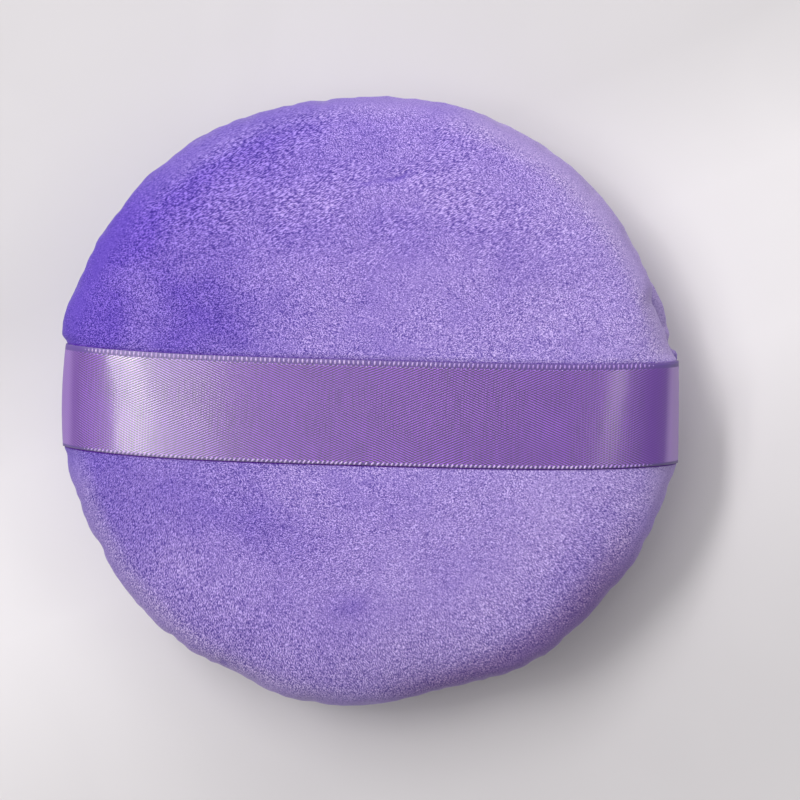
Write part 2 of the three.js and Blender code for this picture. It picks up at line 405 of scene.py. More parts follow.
def castRibbon():
    smoothTop = copyNode("top_cover", "smooth_top")
    subdivide(smoothTop, 3)
    tree = BVHTree.FromObject(smoothTop, bpy.context.evaluated_depsgraph_get())
    reach = rimBox[1].x - rimMiddle.x - ribbon["pivotIn"] * mm
    acrosses = np.linspace(-1, 1, ribbon["across"] + 1) * ribbonHalf
    halves = []
    for side in (-1, 1):
        seamHere = float(np.interp(0 if side > 0 else math.pi, rimAngles, seamHeights))
        pivotZ = seamHere + ribbon["pivotAbove"] * mm
        rows, x = [], side * rimBox[1].x
        for degrees in np.linspace(ribbon["tailAngle"], ribbon["crownAngle"], ribbon["rays"]):
            row = castRow(tree, side, reach, pivotZ, math.radians(degrees), acrosses + float(ribbonLine(x)))
            x = row[len(row) // 2].x
            if side * x < 0:
                break
            rows.append(row)
        # the tails run on flat between the seam allowances
        tail = [[p - Vector((side * ribbon["tail"] * share * mm, 0, 0)) for p in rows[0]]
                for share in ribbon["tailRows"]]
        halves.append(tail + rows)
    bpy.data.objects.remove(smoothTop)
    return np.array([[list(p) for p in row] for row in halves[0] + halves[1][::-1]])


def foldShares(grid):
    # how far each strand of the ribbon is drawn in where it folds over the rim
    out = {}
    inner = ribbon["foldFrom"] * mm
    across = np.linspace(-1, 1, grid.shape[1])
    for side in (-1, 1):
        outermost = (side * grid[:, :, 0]).max(axis=0)
        near, middle, far = ribbon["foldOut"][side]
        wanted = middle + (far - near) / 2 * across + ((far + near) / 2 - middle) * across ** 2
        out[side] = (wanted * mm - inner) / (outermost - inner)
    return out


def drawIn(co):
    # the ribbon and the cloth under it keep to the same fold
    inner = ribbon["foldFrom"] * mm
    across = (co[:, 1] - ribbonLine(co[:, 0])) / ribbonHalf
    away = smoothStep((np.abs(across) - 1) * ribbonHalf / (ribbon["foldFade"] * mm))
    x = co[:, 0].copy()
    for side in (-1, 1):
        share = np.interp(across, np.linspace(-1, 1, ribbon["across"] + 1), folds[side])
        share = share + (1 - share) * away
        beyond = side * x > inner
        x[beyond] = side * (inner + (side * x[beyond] - inner) * share[beyond])
    return np.column_stack([x, co[:, 1:]])


castGrid = castRibbon()
folds = foldShares(castGrid)
print("ribbon cast", castGrid.shape, "folds drawn to", *(round(float(folds[s].min()), 3) for s in (-1, 1)))

# covers: velour over soft filling, gathered at the seam
cover = {
    "voxel": 0.5,
    "smoothing": 3,
    "groove": 2.4,
    "faces": (0.02, 0.1),  # a face that looks this far up or down, or outwards, is an outer one
    "pastRim": 0.3,
    "foldHeight": 2.6,
    "floorFade": 3,
    "pileRise": 0.42,
    "pileRiseNear": 0.12,
    "riseRadius": (46, 53.5),
    "channelEdge": 0.45,
    "channelGap": 0.1,
    "lump": 0.14,
    "lumpSize": 17,
    "ripple": 0.05,
    "rippleSize": 4.5,
}

# stitches pull the cloth in at the seam, and what is spare between them puffs out
gathers = {
    "seed": 3,
    "spacing": (7.0, 13.0),
    "depth": (0.35, 0.95),
    "width": (0.8, 1.5),
    "climb": (1.8, 3.6),
    "pinShare": 0.45,
    "start": 0.3,
    "spare": 0.08,
    "spareReach": 5.0,
    "cap": 0.9,
    "evenRounds": 120,
    "scale": 20,
    "pressure": 40,
    "frames": 18,
    "quality": 4,
    "shades": 10,
    "fade": 0.7,
    "ribbonFade": 1.0,
    "floorFade": 4,
    "stiffness": 6,
    "bending": 0.4,
}


def gatherPoints():
    draw = random.Random(gathers["seed"])
    out = []
    at = draw.uniform(0, gathers["spacing"][0])
    around = 2 * math.pi * rim["radius"]
    while at < around - gathers["spacing"][0] / 2:
        dent = [draw.uniform(*gathers[key]) for key in ("depth", "width", "climb")]
        out.append((at / rim["radius"], *dent))
        at += draw.uniform(*gathers["spacing"])
    return out


def dents(co):
    radius, angle = polarOf(co)
    angle = angle % (2 * math.pi)
    climb = np.abs(co[:, 2] - roundRim(seamHeights, co)) / mm
    out = np.zeros(len(co))
    for at, depth, width, reach in gatherPoints():
        arc = np.abs((angle - at + math.pi) % (2 * math.pi) - math.pi) * radius / mm
        fade = np.clip(1 - climb / reach, 0, 1) ** gathers["fade"]
        out = np.maximum(out, depth * np.exp(-(arc / width) ** 2) * fade)
    return out


def outerSkin(obj, nodeName):
    # the weight is 1 on the cloth that shows and 0 on the inner skin and the seam allowance
    co, normal = places(obj), normalsOf(obj)
    radius = polarOf(co)[0]
    side = 1 if nodeName == "top_cover" else -1
    rimHere = roundRim(topRadii if side > 0 else bottomRadii, co)
    outward = (co[:, 0] * normal[:, 0] + co[:, 1] * normal[:, 1]) / np.maximum(radius, mm)
    climb = side * (co[:, 2] - roundRim(seamHeights, co))
    outer = (side * normal[:, 2] > cover["faces"][0]) | (outward > cover["faces"][1])
    outer &= radius < rimHere + cover["pastRim"] * mm
    allowance = (radius < rimHere - cover["groove"] * mm) & (climb < cover["foldHeight"] * mm)
    return co, normal, (outer & ~allowance).astype(float), climb


def besideRibbon(co):
    # how far outside the ribbon's edges, in m
    return np.abs(co[:, 1] - ribbonLine(co[:, 0])) - ribbonHalf


# at the right the seam stands open: the upper cover draws back and the lower one bulges past it
opening = {
    "ends": (10.5, 20.0, 21.0, 25.0),
    "draw": 0.8,
    "drawRadius": (49, 53),
    "bulges": ((22.0, 3.6, 0.7), (13.1, 1.2, -0.5)),
    "below": (2.2, 2.5),  # how far under the seam the bulges are widest, and how tall they are
}


def openSeam(co):
    # the upper cover and the wadding under it
    radius, angle = polarOf(co)
    angle = np.degrees(angle)
    start, full, fade, end = opening["ends"]
    share = smoothStep((angle - start) / (full - start)) * (1 - smoothStep((angle - fade) / (end - fade)))
    share *= smoothStep((radius / mm - opening["drawRadius"][0]) / np.ptp(opening["drawRadius"]))
    shrink = 1 - opening["draw"] * mm * share / radius
    return np.column_stack([co[:, :2] * shrink[:, None], co[:, 2]])


# small creases in the cloth, each a line of (x, y, depth); the depth also sets the painted shade laid into
# them
creases = {
    "lines": (
        ((-5.2, 39.2, 0), (-1.6, 38.3, 0.2), (0.3, 38.9, 0.12), (4.0, 39.3, 0.3), (7.2, 41.4, 0)),
        ((5.6, 34.6, 0), (7.2, 34.5, 0.12), (8.8, 34.9, 0)),
        ((-25.4, -45.2, 0), (-24.4, -46.2, 0.3), (-23.4, -47.4, 0.05)),
    ),
    "width": 0.42,
    "deepest": 0.3,
    # the nub's shade is painted shade
    "nub": {"at": 10.2, "flat": 0.7, "spread": 0.9, "rise": 0.9, "shade": 0.25},
}


def creaseDepth(co):
    out = np.zeros(len(co))
    flat = co[:, :2] / mm
    for line in creases["lines"]:
        for (ax, ay, a), (bx, by, b) in zip(line, line[1:]):
            way = np.array([bx - ax, by - ay])
            share = np.clip((flat - (ax, ay)) @ way / (way @ way), 0, 1)
            gap = np.linalg.norm(flat - (ax, ay) - share[:, None] * way, axis=1)
            out = np.maximum(out, (a + (b - a) * share) * np.exp(-(gap / creases["width"]) ** 2))
    return out


def neighbourMean(obj, field, weight, rounds):
    # spreads a field over the mesh, only where the weight is above nothing
    ends = np.empty(len(obj.data.edges) * 2, np.int32)
    obj.data.edges.foreach_get("vertices", ends)
    a, b = ends.reshape(-1, 2).T
    count = len(field)
    total = weight + np.bincount(a, weight[b], count) + np.bincount(b, weight[a], count)
    for _ in range(rounds):
        spread = np.empty_like(field)
        for k in range(3):
            part = field[:, k] * weight
            spread[:, k] = part + np.bincount(a, part[b], count) + np.bincount(b, part[a], count)
        field = spread / np.maximum(total, 1e-9)[:, None]
    return field


def runCloth(obj, pinned, away):
    # pressure from inside, the pinned places held, and spare cloth near the seam
    pins, plain = obj.vertex_groups.new(name="pins"), obj.vertex_groups.new(name="plain")
    pins.add([int(i) for i in np.nonzero(pinned)[0]], 1.0, "REPLACE")
    for step in range(1, gathers["shades"] + 1):
        band = np.nonzero((away * gathers["shades"]).round() == step)[0]
        plain.add([int(i) for i in band], step / gathers["shades"], "REPLACE")
    modifier = obj.modifiers.new("Cloth", "CLOTH")
    settings = modifier.settings
    settings.quality = gathers["quality"]
    settings.tension_stiffness = settings.compression_stiffness = gathers["stiffness"]
    settings.shear_stiffness = gathers["stiffness"] / 2
    settings.bending_stiffness = gathers["bending"]
    settings.use_pressure = True
    settings.uniform_pressure_force = gathers["pressure"]
    settings.effector_weights.gravity = 0
    settings.vertex_group_mass = "pins"
    settings.shrink_min = -gathers["spare"]
    settings.shrink_max = 0
    settings.vertex_group_shrink = "plain"
    modifier.collision_settings.use_collision = False
    modifier.collision_settings.use_self_collision = False
    scene = bpy.context.scene
    for step in range(1, gathers["frames"] + 1):
        scene.frame_set(step)
    pick(obj)
    bpy.ops.object.modifier_apply(modifier=modifier.name)
    scene.frame_set(1)
    obj.vertex_groups.clear()


def puffOut(obj, nodeName):
    co, normal, free, climb = outerSkin(obj, nodeName)
    if nodeName == "top_cover":
        free *= smoothStep(besideRibbon(co) / (gathers["ribbonFade"] * mm))
    else:
        free *= smoothStep(co[:, 2] / (gathers["floorFade"] * mm))
    dent = dents(co) * (free > 0)
    start = co - normal * (free * gathers["start"] + dent)[:, None] * mm
    pinned = (free < 0.5) | (dent > gathers["pinShare"] * gathers["depth"][0])
    away = 1 - np.exp(-(climb / (gathers["spareReach"] * mm)) ** 2)
    setPlaces(obj, start * gathers["scale"])
    runCloth(obj, pinned, away)
    # only the folds are kept, and the form they lie on stays as it was
    moved = places(obj) / gathers["scale"] - co
    moved -= neighbourMean(obj, moved, free, gathers["evenRounds"])
    moved *= (1 - away)[:, None]
    length = np.linalg.norm(moved, axis=1)
    moved *= np.minimum(1, gathers["cap"] * mm / np.maximum(length, 1e-9))[:, None]
    moved[free < 0.5] = 0
    setPlaces(obj, co + moved)
    average, most = length[free > 0.5].mean() / mm, length.max() / mm
    print(nodeName, "puffed out by", round(float(average), 2), "mm on average, at most",
          round(float(most), 2))


def topRelief(co, rise, outer):
    # the pile stands up beside the ribbon, and the cloth has a few creases, whose depth is kept for their
    # painted shade
    crown = 1 - smoothStep((polarOf(co)[0] / mm - cover["riseRadius"][0]) / np.ptp(cover["riseRadius"]))
    beyond = besideRibbon(co)
    far = co[:, 1] > ribbonLine(co[:, 0])
    gap = np.where(far, 0, cover["channelGap"]) * mm
    beside = smoothStep((beyond - gap) / (cover["channelEdge"] * mm))
    pile = np.where(far, cover["pileRise"], cover["pileRiseNear"])
    crease = creaseDepth(co) * outer
    return (rise + pile * crown) * beside * outer - crease, crease, beyond


def bottomRelief(co, rise, outer, climb):
    # where the seam stands open the wall bulges, and a nub of cloth stands beside the ribbon, with painted
    # shade on it
    rise = rise * np.clip(co[:, 2] / (cover["floorFade"] * mm), 0, 1)
    angle = np.degrees(polarOf(co)[1])
    nub = creases["nub"]
    arc = np.radians(np.abs(angle - nub["at"])) * rim["radius"]
    lobe = 1 - smoothStep((arc - nub["flat"]) / nub["spread"])
    below, reach = opening["below"]
    tall = np.exp(-((climb / mm - below) / reach) ** 2)
    bulge = nub["rise"] * lobe
    for at, spread, amount in opening["bulges"]:
        bulge += amount * np.exp(-((angle - at) / spread) ** 2)
    return rise + bulge * tall * outer, nub["shade"] * lobe * tall ** 3 * outer, np.ones(len(co))


def buildCover(nodeName, name, seed):
    obj = copyNode(nodeName, name)
    subdivide(obj, 2)
    puffOut(obj, nodeName)
    applyModifier(obj, "REMESH", mode="VOXEL", voxel_size=cover["voxel"] * mm)
    applyModifier(obj, "SMOOTH", factor=0.5, iterations=cover["smoothing"])
    co, normal, outer, climb = outerSkin(obj, nodeName)
    shown = outer > 0
    rise = np.zeros(len(co))
    rise[shown] = (cover["lump"] * fractal(co[shown], cover["lumpSize"], seed)
                   + cover["ripple"] * fractal(co[shown], cover["rippleSize"], seed + 1))
    if nodeName == "top_cover":
        rise, crease, beyond = topRelief(co, rise, outer)
    else:
        rise, crease, beyond = bottomRelief(co, rise, outer, climb)
    co = co + normal * rise[:, None] * mm
    setPlaces(obj, openSeam(drawIn(co)) if nodeName == "top_cover" else co)
    # crease holds painted shade for the creases and the nub, and beside the distance from the ribbon's edges
    # in mm
    for field, values in (("crease", crease / creases["deepest"]), ("beside", beyond / mm)):
        obj.data.attributes.new(field, "FLOAT", "POINT").data.foreach_set("value", values.astype(np.float32))
    smoothShade(obj)
    print(name, len(obj.data.polygons), "faces")
    return obj


topCover = buildCover("top_cover", "velour_top", 1)
bottomCover = buildCover("bottom_cover", "velour_bottom", 5)

# filling and threads
padding = {
    "levels": 2,
    "grow": 0.1,
    "loose": {"foam_block": 0.04, "fibre_top": 0.1, "fibre_bottom": 0.1},
    "looseSize": 6,
    "fill": {"velour_top": 0.7, "velour_bottom": 0.7, "foam_block": 1.0,
             "fibre_top": 0.5, "fibre_bottom": 0.5},
}


def buildPadding(nodeName, name, seed):
    obj = copyNode(nodeName, name)
    subdivide(obj, padding["levels"])
    co, normal = places(obj), normalsOf(obj)
    grow = padding["grow"] + padding["loose"][name] * fractal(co, padding["looseSize"], seed)
    co = co + normal * grow[:, None] * mm
    setPlaces(obj, openSeam(co) if nodeName == "top_wadding" else co)
    smoothShade(obj)
    return obj


def buildThread(nodeName, name):
    obj = copyNode(nodeName, name)
    subdivide(obj, 1)
    smoothShade(obj)
    return obj


foamBlock = buildPadding("foam_core", "foam_block", 21)
topFibre = buildPadding("top_wadding", "fibre_top", 22)
bottomFibre = buildPadding("bottom_wadding", "fibre_bottom", 23)
overlock = buildThread("overlock_thread", "overlock_stitches")
closing = buildThread("closing_thread", "closing_stitches")
inside = (foamBlock, topFibre, bottomFibre, overlock, closing)
print("filling and threads", sum(len(piece.data.polygons) for piece in inside), "faces")


def evenOut(grid, step):
    # equal steps along the middle line
    middle = grid[:, grid.shape[1] // 2]
    run = np.concatenate([[0], np.cumsum(np.linalg.norm(np.diff(middle, axis=0), axis=1))])
    count = int(round(run[-1] / step))
    wanted = np.linspace(0, run[-1], count + 1)
    out = np.empty((count + 1, grid.shape[1], 3))
    for j in range(grid.shape[1]):
        for k in range(3):
            out[:, j, k] = np.interp(wanted, run, grid[:, j, k])
    return out, run[-1]


def sheetFromGrid(name, grid, length):
    rows, columns = grid.shape[:2]
    faces = [(i * columns + j, (i + 1) * columns + j, (i + 1) * columns + j + 1, i * columns + j + 1)
             for i in range(rows - 1) for j in range(columns - 1)]
    obj = addMesh(name, grid.reshape(-1, 3), faces)
    uv = obj.data.uv_layers.new(name="along")
    for loop in obj.data.loops:
        i, j = divmod(loop.vertex_index, columns)
        uv.data[loop.index].uv = (i / (rows - 1) * length / mm, j / (columns - 1) * 2 * ribbonHalf / mm)
    return obj


def buildRibbon():
    folded = drawIn(castGrid.reshape(-1, 3)).reshape(castGrid.shape)
    grid, length = evenOut(folded, ribbon["step"] * mm)
    for _ in range(ribbon["smoothing"]):
        grid[1:-1] = (grid[:-2] + 2 * grid[1:-1] + grid[2:]) / 4
    obj = sheetFromGrid("satin_ribbon", grid, length)
    applyModifier(obj, "SOLIDIFY", thickness=ribbon["thickness"] * mm, offset=1)
    smoothShade(obj)
    print("ribbon", round(length / mm, 1), "mm long")
    return obj, grid, length


ribbonPiece, ribbonGrid, ribbonLength = buildRibbon()

# selvedges: the weft turns back round each edge in a row of small raised loops
selvedge = {
    "pitch": 0.8,
    "far": {"size": (0.42, 0.9, 0.36), "inset": 0.45, "slant": 0, "uneven": 0.12},
    "near": {"size": (0.42, 0.74, 0.42), "inset": 0.3, "slant": 42, "uneven": 0.18},
    "knots": {"size": (0.24, 0.26, 0.16), "inset": 1.08, "slant": 0, "uneven": 0.15},
    "least": 0.3,
    "segments": 8,
    "rings": 5,
    "tailEnd": 8,
    "tight": {-1: (47.0, 51.0), 1: (46.5, 51.0)},
}


def ribbonPlace(run, inset, edge):
    # a point on the ribbon's upper face with its three directions
    rows, columns = ribbonGrid.shape[:2]
    i = min(max(run / ribbonLength * (rows - 1), 1), rows - 2.001)
    j = (columns - 1) * inset / (2 * ribbonHalf)
    j = columns - 1 - j if edge > 0 else j
    j = min(max(j, 0), columns - 1.001)
    a, b = int(i), int(j)
    s, t = i - a, j - b
    corner = ribbonGrid[a:a + 2, b:b + 2]
    here, onward = ((1 - t) * row[0] + t * row[1] for row in corner)
    point = (1 - s) * here + s * onward
    along = ribbonGrid[a + 1, b] - ribbonGrid[a - 1, b]
    across = corner[0, 1] - corner[0, 0]
    along, across = along / np.linalg.norm(along), across / np.linalg.norm(across)
    up = np.cross(along, across)
    return point, along, across, up / np.linalg.norm(up)


def bead():
    segments, rings = selvedge["segments"], selvedge["rings"]
    bpy.ops.mesh.primitive_uv_sphere_add(segments=segments, ring_count=rings, radius=0.5)
    obj = bpy.context.object
    co = places(obj)
    faces = [list(f.vertices) for f in obj.data.polygons]
    bpy.data.objects.remove(obj)
    return co, faces


def beadRow(name, rows, edge, seed):
    draw = random.Random(seed)
    shape, faces = bead()
    vertices, allFaces = [], []
    for row, offset in rows:
        kind = selvedge[row]
        size = np.array(kind["size"]) * mm
        slant = math.radians(kind["slant"])
        count = int((ribbonLength / mm - 2 * selvedge["tailEnd"]) / selvedge["pitch"])
        for k in range(count):
            run = (selvedge["tailEnd"] + (k + offset) * selvedge["pitch"]) * mm
            point, along, across, up = ribbonPlace(run, kind["inset"] * mm, edge)
            grow = 1 + kind["uneven"] * draw.uniform(-1, 1)
            lean = slant + kind["uneven"] * draw.uniform(-1, 1)
            wide = along * math.cos(lean) - across * math.sin(lean)
            tall = along * math.sin(lean) + across * math.cos(lean)
            middle = point + up * ribbon["thickness"] * mm
            # the loops lie tighter where the ribbon turns down, until they no longer show
            start, end = selvedge["tight"][-1 if point[0] < 0 else 1]
            tight = 1 - float(smoothStep((abs(point[0]) / mm - start) / (end - start)))
            if tight < selvedge["least"]:
                continue
            local = shape * size * (1, grow, 1) * tight
            base = len(vertices)
            vertices.extend(middle + local[:, :1] * wide + local[:, 1:2] * tall + local[:, 2:] * up)
            allFaces.extend([[base + i for i in f] for f in faces])
    obj = addMesh(name, vertices, allFaces)
    smoothShade(obj)
    return obj


farSelvedge = beadRow("selvedge_far", (("far", 0), ("knots", 0.5)), 1, 11)
nearSelvedge = beadRow("selvedge_near", (("near", 0),), -1, 12)
print("selvedges", len(farSelvedge.data.polygons) + len(nearSelvedge.data.polygons), "faces")


# velour: short pile over a knitted ground, brushed one way here and another way there
velour = {
    "deep": (0.12, 0.066, 0.44),
    "plain": (0.28, 0.193, 0.575),
    "pale": (0.382, 0.283, 0.665),
    "tonesAt": (0.1, 0.55, 0.95),
    # tufts: sizes along, across and up in mm, turned by degrees
    "leaning": ((0.26, 0.15, 0.2), 30),
    "crossing": ((0.24, 0.155, 0.2), -35),
    "streaks": ((0.6, 0.14, 0.2), 27),
    "combed": ((0.4, 0.14, 0.35), 0),
    "wall": ((0.16, 0.4, 0.35), 0),
    "straight": 0.2,  # distortion of the streaks and the combed tufts
    "patches": ((15, 15, 15), 0),
    "patchEdge": (0.44, 0.56),
    "nap": ((17, 17, 17), 0),
    # where each kind of tufts lies, in mm
    "streaksFrom": (18, 34),
    "streaksIn": (0.62, 0.48, 0.1, 0.75),
    "combCentre": (-26, 20),
    "combArc": 70,  # mm of pattern in a radian about that centre
    "combFrom": (24, 46),
    "combMost": 0.9,
    "combNear": (6, -22),
    "wallArc": 52,
    "wallFrom": (20.5, 16),
    # contrast of the tufts, from the left to the right
    "gainFrom": (-45, 10),
    "gain": (3.9, 2.4),
    "streaksGain": 0.4,
    "smoothRim": (50.0, 53.5),
    "rimGain": 0.35,
    # how dark the tone lies: a start, and shares of the places along and across in m and of the patches; the
    # slope along and across is partly the nap and partly painted shade and sheen
    "drift": (0.35, 7.0, -3.0, 0.5),
    # some of these strokes are painted shade, as the darker one at the near right
    "brushedAndShaded": (  # strokes in the nap: middle, reach along and across in mm, turn, lighter or darker
        ((-33, 13), (26, 11), 0, -0.2),
        ((-12, -21), (30, 13), -8, -0.17),
        ((1, -37), (14, 8), 10, -0.12),
        ((-1, -34), (8, 5), 10, -0.34),
        ((-42, 12), (9, 8), 0, 0.07),
        ((17, 19), (13, 9), 40, -0.1),
        ((8, 30), (16, 9), 0, -0.1),
        ((0, 41), (20, 8), 0, -0.13),
        ((35, -28), (22, 10), 52, -0.24),
        ((33, 11), (12, 5), 0, -0.12),
        ((-29, 30), (9, 6), 45, -0.1),
        ((-12, 35), (9, 6), 20, 0.12),
    ),
    "strokeBreak": 1.2,
    # bands along the rim, all painted light: painted shade at the far left where the rim faces the lamps, a
    # grey painted sheen at the edge, and painted shade at the near right; given are the radii over which
    # they set in, and the ways that they face, each in degrees with the cosines between which it sets in,
    # and for some its amount
    "darkBand": (42, 51.5),
    "darkWay": (145, 0.3, 0.95),
    "darker": 0.15,
    "greyBand": (48.5, 52.5),
    "greyWays": ((230, 0.6, 0.95, 0.3), (30, 0.6, 0.8, 0.3), (108, 0.8, 0.97, 0.15)),
    "greyRim": (0.52, 0.43, 0.62),
    "dullBand": (45.5, 51),
    "dullWay": (305, 0.8, 0.97),
    "dullRim": (0.72, 0.63, 0.69),
    "speckle": ((0.05, (0.34, 0.30, 0.55)), (0.42, (0.88, 0.87, 0.93)), (0.7, (1.25, 1.27, 1.12)),
                (1.0, (2.1, 2.3, 1.5))),
    # painted shade: the deep tone laid into the creases and on the nub
    "creaseShade": 0.6,  # how much of the deep tone lies in a crease
    "shadeLine": (0.10, 0.012, 0.30),
    "shadeWidth": (0.12, 0.38),
    "shadeTurn": (-3, 0),
    "farShade": 0.4,
    "bump": (0.5, 0.06),
    "roughness": 0.9,
    "specular": 0.1,
    "sheen": 0.33,
    "sheenTint": (0.85, 0.8, 0.95),
    "sheenRoughness": 0.28,
}


def polarNodes(tree, x, y, centre):
    dx, dy = (maths(tree, "SUBTRACT", axis, at * mm) for axis, at in zip((x, y), centre))
    reach = maths(tree, "SQRT", times(tree, dx, dx, times(tree, dy, dy)))
    return reach, maths(tree, "ARCTAN2", dy, dx)


def velourGrain(tree, where, x, y, z):
    # the tufts lean one way or the other in patches
    radius, angle = polarNodes(tree, x, y, (0, 0))
    patches = tufts(tree, where, *velour["patches"], detail=1.0)
    grain = blend(tree, fromTo(tree, patches, *velour["patchEdge"]),
                  tufts(tree, where, *velour["leaning"]), tufts(tree, where, *velour["crossing"]))
    # at the far side they run in streaks
    streaked = times(tree, between(tree, y, velour["streaksFrom"]),
                     fromTo(tree, patches, *velour["streaksIn"]))
    streaks = tufts(tree, where, *velour["streaks"], distortion=velour["straight"])
    grain = blend(tree, streaked, grain, streaks)
    # towards the near rim they are combed out from a place on the crown
    combReach, combAngle = polarNodes(tree, x, y, velour["combCentre"])
    combPlace = joinAxes(tree, combReach, times(tree, combAngle, velour["combArc"] * mm), z)
    combing = times(tree, between(tree, radius, velour["combFrom"], 0.0, velour["combMost"]),
                    between(tree, y, velour["combNear"]))
    combed = tufts(tree, combPlace, *velour["combed"], distortion=velour["straight"])
    grain = blend(tree, combing, grain, combed)
    # on the wall they follow the rim
    wallPlace = joinAxes(tree, times(tree, angle, velour["wallArc"] * mm), radius, z)
    grain = blend(tree, between(tree, z, velour["wallFrom"]), grain, tufts(tree, wallPlace, *velour["wall"]))
    gain = times(tree, between(tree, radius, velour["smoothRim"], 1.0, velour["rimGain"]),
                 between(tree, x, velour["gainFrom"], *velour["gain"]))
    gain = times(tree, gain, times(tree, streaked, velour["streaksGain"], 1.0))
    return aboutHalf(tree, grain, gain)


def velourTone(tree, where, x, y):
    # the tone lies darker towards the far left, partly from the nap and partly as painted shade, and paler
    # towards the near right as painted sheen; it also varies in patches and in brush strokes, some of them
    # painted shade
    nap = tufts(tree, where, *velour["nap"], detail=3.0, distortion=0.0)
    drift, *shares = velour["drift"]
    for value, share in zip((x, y, nap), shares):
        drift = times(tree, value, share, drift)
    # brush strokes in the nap, some of them painted shade
    for (atX, atY), (long, wide), turn, amount in velour["brushedAndShaded"]:
        reach = vectorMaths(tree, "LENGTH", cells(tree, where, (long, wide, 1000), turn, (atX, atY, 0)))
        reach = times(tree, maths(tree, "SUBTRACT", nap, 0.5), velour["strokeBreak"], reach)
        drift = maths(tree, "ADD", drift, fromTo(tree, reach, 0.0, 1.0, amount, 0.0))
    # bands along the rim are painted light: darker painted shade at the far left, a grey painted sheen, and
    # duller painted shade at the near right
    radius, angle = polarNodes(tree, x, y, (0, 0))

    def towards(degrees, low, high, most=1.0):
        turn = maths(tree, "COSINE", maths(tree, "SUBTRACT", angle, math.radians(degrees)))
        return fromTo(tree, turn, low, high, 0.0, most)

    dark = times(tree, between(tree, radius, velour["darkBand"]), towards(*velour["darkWay"]))
    drift = times(tree, dark, -velour["darker"], drift)
    tones = (velour["deep"], velour["plain"], velour["pale"])
    colour = ramp(tree, drift, list(zip(velour["tonesAt"], tones)))
    palest = 0.0
    for way in velour["greyWays"]:
        palest = larger(tree, palest, towards(*way))
    grey = times(tree, between(tree, radius, velour["greyBand"]), palest)
    colour = mixColour(tree, grey, colour, velour["greyRim"])
    dull = times(tree, between(tree, radius, velour["dullBand"]), towards(*velour["dullWay"]))
    return mixColour(tree, dull, colour, velour["dullRim"], "MULTIPLY")


def velourMaterial():
    material, tree, shader = newMaterial("velour")
    where = objectPlace(tree)
    x, y, z = axesOf(tree, where)
    grain = velourGrain(tree, where, x, y, z)
    tone = velourTone(tree, where, x, y)
    colour = mixColour(tree, 1.0, tone, ramp(tree, grain, velour["speckle"]), "MULTIPLY")
    # painted shade in the creases and on the nub
    crease = times(tree, attribute(tree, "crease"), velour["creaseShade"])
    colour = mixColour(tree, crease, colour, velour["deep"])
    # the shade under the ribbon's near edge, and less of it under the far one
    shade = times(tree, fromTo(tree, attribute(tree, "beside"), *velour["shadeWidth"], 1.0, 0.0),
                  between(tree, y, velour["shadeTurn"], 1.0, velour["farShade"]))
    setShader(tree, shader, {
        "Base Color": mixColour(tree, shade, colour, velour["shadeLine"]),
        "Normal": bumpOf(tree, velour["bump"], grain),
        "Roughness": velour["roughness"],
        "Specular IOR Level": velour["specular"],
        "Sheen Weight": velour["sheen"],
        "Sheen Roughness": velour["sheenRoughness"],
        "Sheen Tint": velour["sheenTint"],
    })
    return material


# satin: a five-end satin, whose binding points fall on two slants
satin = {
    "colour": (0.475, 0.13, 0.96),
    "shade": (0.025, 0.004, 0.10),
    "shadeAt": 0.7,
    "edge": (0.085, 0.015, 0.29),
    "edgeWidths": (0.5, 0.95),
    "edgeSoft": 0.08,
    "slants": ((1.0, 2.3), (-1.0, 2.3)),  # turns in a mm along and across the ribbon
    "patch": 22.0,  # size of the stretches in which the eye follows one slant or the other
    "patchEdge": (0.4, 0.6, 0.12, 0.88),
    "picks": (2.4, 0.22, 1),
    "unevenPicks": 0.25,
    "weaveEnds": (-51.5, -49.5, 43.5, 50.0),
    "weaveLeft": 0.12,  # how much of the weave still shows where the ribbon turns down
    "turnedShade": (0.8, 0.26, 1.0),
    "foldSheen": (0.32, 0.155, 0.58),
    "foldEnds": (51.5, 53.0),
    "leftFold": 0.5,
    "bump": (0.25, 0.04),
    "roughness": (0.24, 0.86),
    "roughFrom": (0.1, 0.8),
    "floatLean": 3.7,
    "anisotropy": 0.95,
    "quarterTurn": 0.25,  # the highlight runs across the ribbon
    "ior": 2.0,
    "specular": 1.0,
    "specularTint": (0.95, 1.0, 0.78),
    "coat": 0.06,
    "coatRoughness": 0.4,
}


def satinWeave(tree, uv, x, turned):
    # each stretch of the ribbon shows the eye one of the two slants
    waves = []
    for slant in satin["slants"]:
        turn = vectorMaths(tree, "DOT_PRODUCT", uv, (*(2 * math.pi * turns for turns in slant), 0))
        waves.append(times(tree, maths(tree, "COSINE", turn), 0.5, 0.5))
    stretch = noiseOf(tree, scaled(tree, uv, (1 / satin["patch"],) * 3))
    bound = blend(tree, fromTo(tree, stretch, *satin["patchEdge"]), *waves)
    # the weave closes up to the eye where the ribbon turns down
    flat = times(tree, between(tree, x, satin["weaveEnds"][:2]), maths(tree, "SUBTRACT", 1, turned))
    flat = times(tree, flat, 1 - satin["weaveLeft"], satin["weaveLeft"])
    bound = aboutHalf(tree, bound, flat)
    # one pick is a little prouder than the next
    picks = noiseOf(tree, scaled(tree, uv, satin["picks"]), Detail=1.0)
    uneven = times(tree, maths(tree, "SUBTRACT", picks, 0.5), times(tree, flat, satin["unevenPicks"]))
    return bound, maths(tree, "ADD", uneven, bound)


